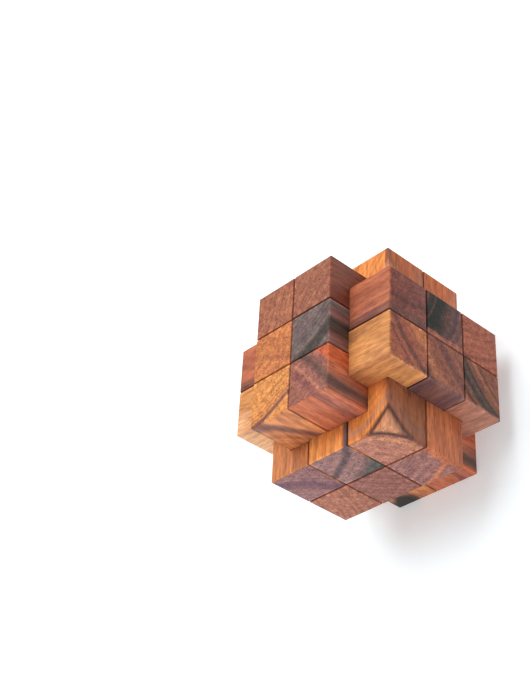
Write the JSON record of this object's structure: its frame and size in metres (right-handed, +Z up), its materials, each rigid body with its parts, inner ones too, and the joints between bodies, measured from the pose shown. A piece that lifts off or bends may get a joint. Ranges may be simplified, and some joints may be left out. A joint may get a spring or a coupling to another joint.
{
  "type": "burr puzzle",
  "caption": "Wooden burr puzzle: notched square sticks lock together at right angles, and plain key sticks lift out.",
  "frame": {"origin": "middle of the flat underside, which the lower ends of the upright sticks form", "axes": "+X to the right along the crosswise sticks, +Y to the back along the lengthwise sticks, +Z up along the uprights and the keys"},
  "size_m": [0.088, 0.088, 0.088],
  "materials": {
    "key_stick_back_left_wood": "oiled satin",
    "key_stick_front_right_wood": "oiled satin",
    "upright_back_right_wood": "oiled satin",
    "upright_middle_right_wood": "oiled satin",
    "upright_front_left_wood": "oiled satin",
    "upright_middle_left_wood": "oiled satin",
    "crosswise_back_upper_wood": "oiled satin",
    "crosswise_back_middle_wood": "oiled satin",
    "crosswise_back_lower_wood": "oiled satin",
    "crosswise_front_upper_wood": "oiled satin",
    "crosswise_front_middle_wood": "oiled satin",
    "crosswise_front_lower_wood": "oiled satin",
    "lengthwise_upper_right_wood": "oiled satin",
    "lengthwise_upper_centre_wood": "oiled satin",
    "lengthwise_upper_left_wood": "oiled satin",
    "lengthwise_lower_right_wood": "oiled satin",
    "lengthwise_lower_centre_wood": "oiled satin",
    "lengthwise_lower_left_wood": "oiled satin"
  },
  "bodies": {
    "interlocked_sticks": {"upright_back_right": "upright_back_right_wood", "upright_middle_right": "upright_middle_right_wood", "upright_front_left": "upright_front_left_wood", "upright_middle_left": "upright_middle_left_wood", "crosswise_back_upper": "crosswise_back_upper_wood", "crosswise_back_middle": "crosswise_back_middle_wood", "crosswise_back_lower": "crosswise_back_lower_wood", "crosswise_front_upper": "crosswise_front_upper_wood", "crosswise_front_middle": "crosswise_front_middle_wood", "crosswise_front_lower": "crosswise_front_lower_wood", "lengthwise_upper_right": "lengthwise_upper_right_wood", "lengthwise_upper_centre": "lengthwise_upper_centre_wood", "lengthwise_upper_left": "lengthwise_upper_left_wood", "lengthwise_lower_right": "lengthwise_lower_right_wood", "lengthwise_lower_centre": "lengthwise_lower_centre_wood", "lengthwise_lower_left": "lengthwise_lower_left_wood"},
    "key_back_left": {"key_stick_back_left": "key_stick_back_left_wood"},
    "key_front_right": {"key_stick_front_right": "key_stick_front_right_wood"}
  },
  "joints": [
    {"name": "back_left_key_lift", "type": "slide", "parent": "interlocked_sticks", "child": "key_back_left", "axis": [0, 0, 1], "range_m": [0, 0.088]},
    {"name": "front_right_key_lift", "type": "slide", "parent": "interlocked_sticks", "child": "key_front_right", "axis": [0, 0, 1], "range_m": [0, 0.088]}
  ]
}
